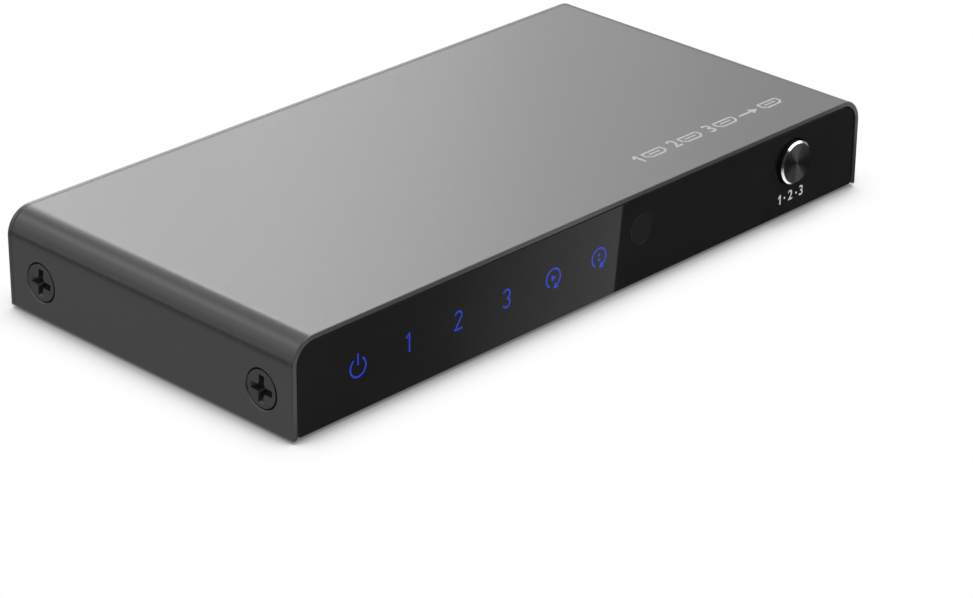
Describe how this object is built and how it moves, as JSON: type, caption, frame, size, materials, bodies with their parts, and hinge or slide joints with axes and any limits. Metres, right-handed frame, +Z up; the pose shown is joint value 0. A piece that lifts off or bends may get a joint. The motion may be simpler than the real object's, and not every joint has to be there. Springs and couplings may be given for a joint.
{
  "type": "video switch box",
  "caption": "Flat sheet-metal video switch box with lit source icons, a remote window and a push button on its glossy front, and video sockets and a power jack on its back.",
  "frame": {"origin": "centre of the case's footprint, on the surface that the feet stand on", "axes": "+Z up; -Y out of the front with its icons and button; +X to the right seen from the front"},
  "size_m": [0.13, 0.0656, 0.0165],
  "materials": {
    "case_paint": "satin dark grey metallic paint on sheet steel",
    "fascia_gloss": "polished black acrylic",
    "tape": "thin black adhesive sheet",
    "black_plastic": "fine matt moulding",
    "white_plastic": "white moulding",
    "icon_glow": "clear blue light guide, lit from behind",
    "dark_window": "smoked lens that passes infrared light",
    "receiver_epoxy": "black moulded epoxy",
    "button_metal": "black anodised, spun face, bright cut chamfer",
    "plated_steel": "nickel plated sheet",
    "gilt": "gold plated",
    "board_green": "green solder mask over glass fibre",
    "screw_zinc": "zinc plated",
    "screw_dark": "black nickel plated steel",
    "chip_epoxy": "moulded epoxy with tinned leads",
    "thermal_pad": "soft grey-blue silicone",
    "black_aluminium": "black anodised",
    "ferrite": "dark ferrite",
    "capacitor_can": "plain aluminium can on a black base",
    "foot_rubber": "soft black rubber"
  },
  "bodies": {
    "case": {"top_cover": "case_paint", "bottom_tray": "case_paint", "front_fascia": "fascia_gloss", "fascia_tape": "tape", "light_box": "black_plastic", "ir_window": "dark_window", "ir_receiver": "receiver_epoxy", "tact_switch_base": "black_plastic", "jack_housing": "black_plastic", "jack_pin": "plated_steel", "jack_spring": "plated_steel", "main_board": "board_green", "board_standoffs": "plated_steel", "board_screws": "screw_zinc", "cover_screws": "screw_dark", "switch_chip": "chip_epoxy", "thermal_pad": "thermal_pad", "chip_heatsink": "black_aluminium", "microcontroller": "chip_epoxy", "voltage_regulator": "chip_epoxy", "crystal": "plated_steel", "power_inductor": "ferrite", "filter_capacitors": "capacitor_can", "light_guide_power": "icon_glow", "led_power": "white_plastic", "light_guide_1": "icon_glow", "led_1": "white_plastic", "light_guide_2": "icon_glow", "led_2": "white_plastic", "light_guide_3": "icon_glow", "led_3": "white_plastic", "light_guide_auto": "icon_glow", "led_auto": "white_plastic", "light_guide_remote": "icon_glow", "led_remote": "white_plastic", "video_in_1_shell": "plated_steel", "video_in_1_insulator": "black_plastic", "video_in_1_contacts": "gilt", "video_in_2_shell": "plated_steel", "video_in_2_insulator": "black_plastic", "video_in_2_contacts": "gilt", "video_in_3_shell": "plated_steel", "video_in_3_insulator": "black_plastic", "video_in_3_contacts": "gilt", "video_out_shell": "plated_steel", "video_out_insulator": "black_plastic", "video_out_contacts": "gilt", "foot_front_left": "foot_rubber", "foot_front_right": "foot_rubber", "foot_back_left": "foot_rubber", "foot_back_right": "foot_rubber"},
    "button": {"select_button_cap": "button_metal", "select_button_stem": "black_plastic", "tact_switch_plunger": "white_plastic"}
  },
  "joints": [
    {"name": "select_button_press", "type": "slide", "parent": "case", "child": "button", "axis": [0, 1, 0], "range_m": [0, 0.0004], "stiffness_N_per_m": 1500}
  ]
}
